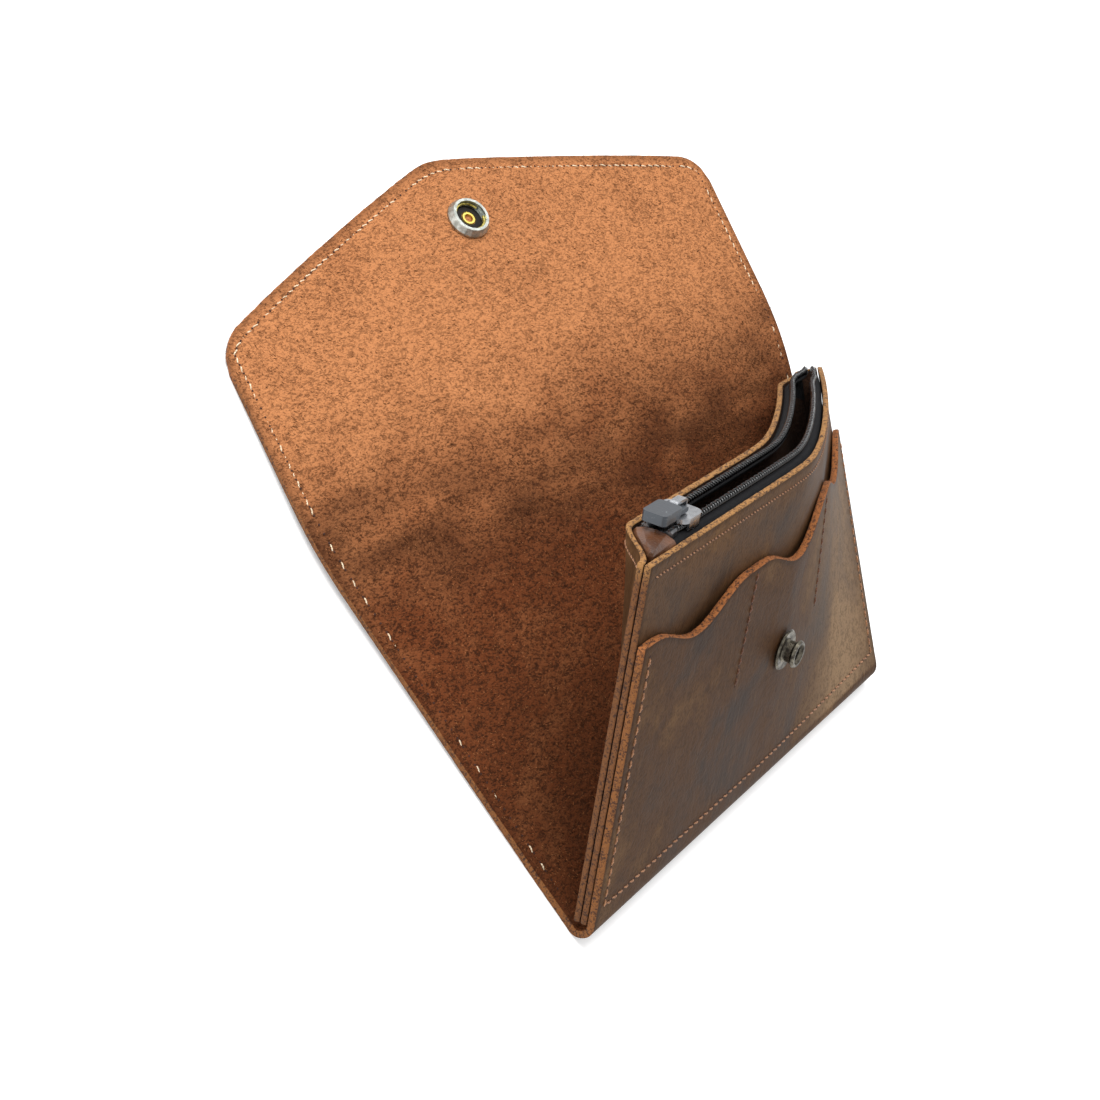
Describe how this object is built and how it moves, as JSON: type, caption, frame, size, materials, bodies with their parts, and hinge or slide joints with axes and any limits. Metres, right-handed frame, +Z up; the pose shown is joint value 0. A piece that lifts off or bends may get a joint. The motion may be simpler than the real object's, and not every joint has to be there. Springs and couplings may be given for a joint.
{
  "type": "card wallet",
  "caption": "Open envelope wallet of thick leather with a pointed snap flap, a bill compartment, card slots and a zip coin pouch.",
  "frame": {"origin": "middle of the flat on which the bottom fold rests", "axes": "+X along the bottom fold, +Y from the fold towards the flap, +Z up from the table"},
  "size_m": [0.1906, 0.1951, 0.0799],
  "materials": {
    "shell_leather": "waxy pull-up leather, smooth outside and suede inside",
    "pouch_leather": "waxy pull-up leather with raw tan edges",
    "tab_leather": "thin glossy tan leather",
    "zip_tape": "black woven tape",
    "zip_coil": "glossy black nylon coil",
    "slider_metal": "worn nickel plate",
    "pull_paint": "dark slate paint",
    "socket_metal": "aged nickel plate",
    "gunmetal": "antique gunmetal with worn rims",
    "snap_brass": "bright brass"
  },
  "bodies": {
    "wallet": {"outer_shell": "shell_leather", "pouch_front_panel": "pouch_leather", "pouch_back_panel": "pouch_leather", "zipper_end_tab": "tab_leather", "zipper_tape_front": "zip_tape", "zipper_tape_back": "zip_tape", "zipper_coil_front": "zip_coil", "zipper_coil_back": "zip_coil", "zipper_top_stop_front": "slider_metal", "zipper_top_stop_back": "slider_metal", "zipper_bottom_stop_front": "slider_metal", "zipper_bottom_stop_back": "slider_metal", "snap_cap": "gunmetal", "snap_socket": "socket_metal", "socket_spring": "snap_brass", "snap_stud": "gunmetal", "stud_eyelet": "snap_brass"},
    "slider": {"zipper_slider_body": "slider_metal"},
    "pull": {"zipper_pull_tab": "pull_paint"}
  },
  "joints": [
    {"name": "zip_slide", "type": "slide", "parent": "wallet", "child": "slider", "axis": [1, 0, 0], "range_m": [0, 0.058]},
    {"name": "pull_hinge", "type": "hinge", "parent": "slider", "child": "pull", "pos_m": [-0.066, 0.0713, 0.07561], "axis": [0, 0.7547, -0.6561], "range_deg": [0, 150]}
  ]
}
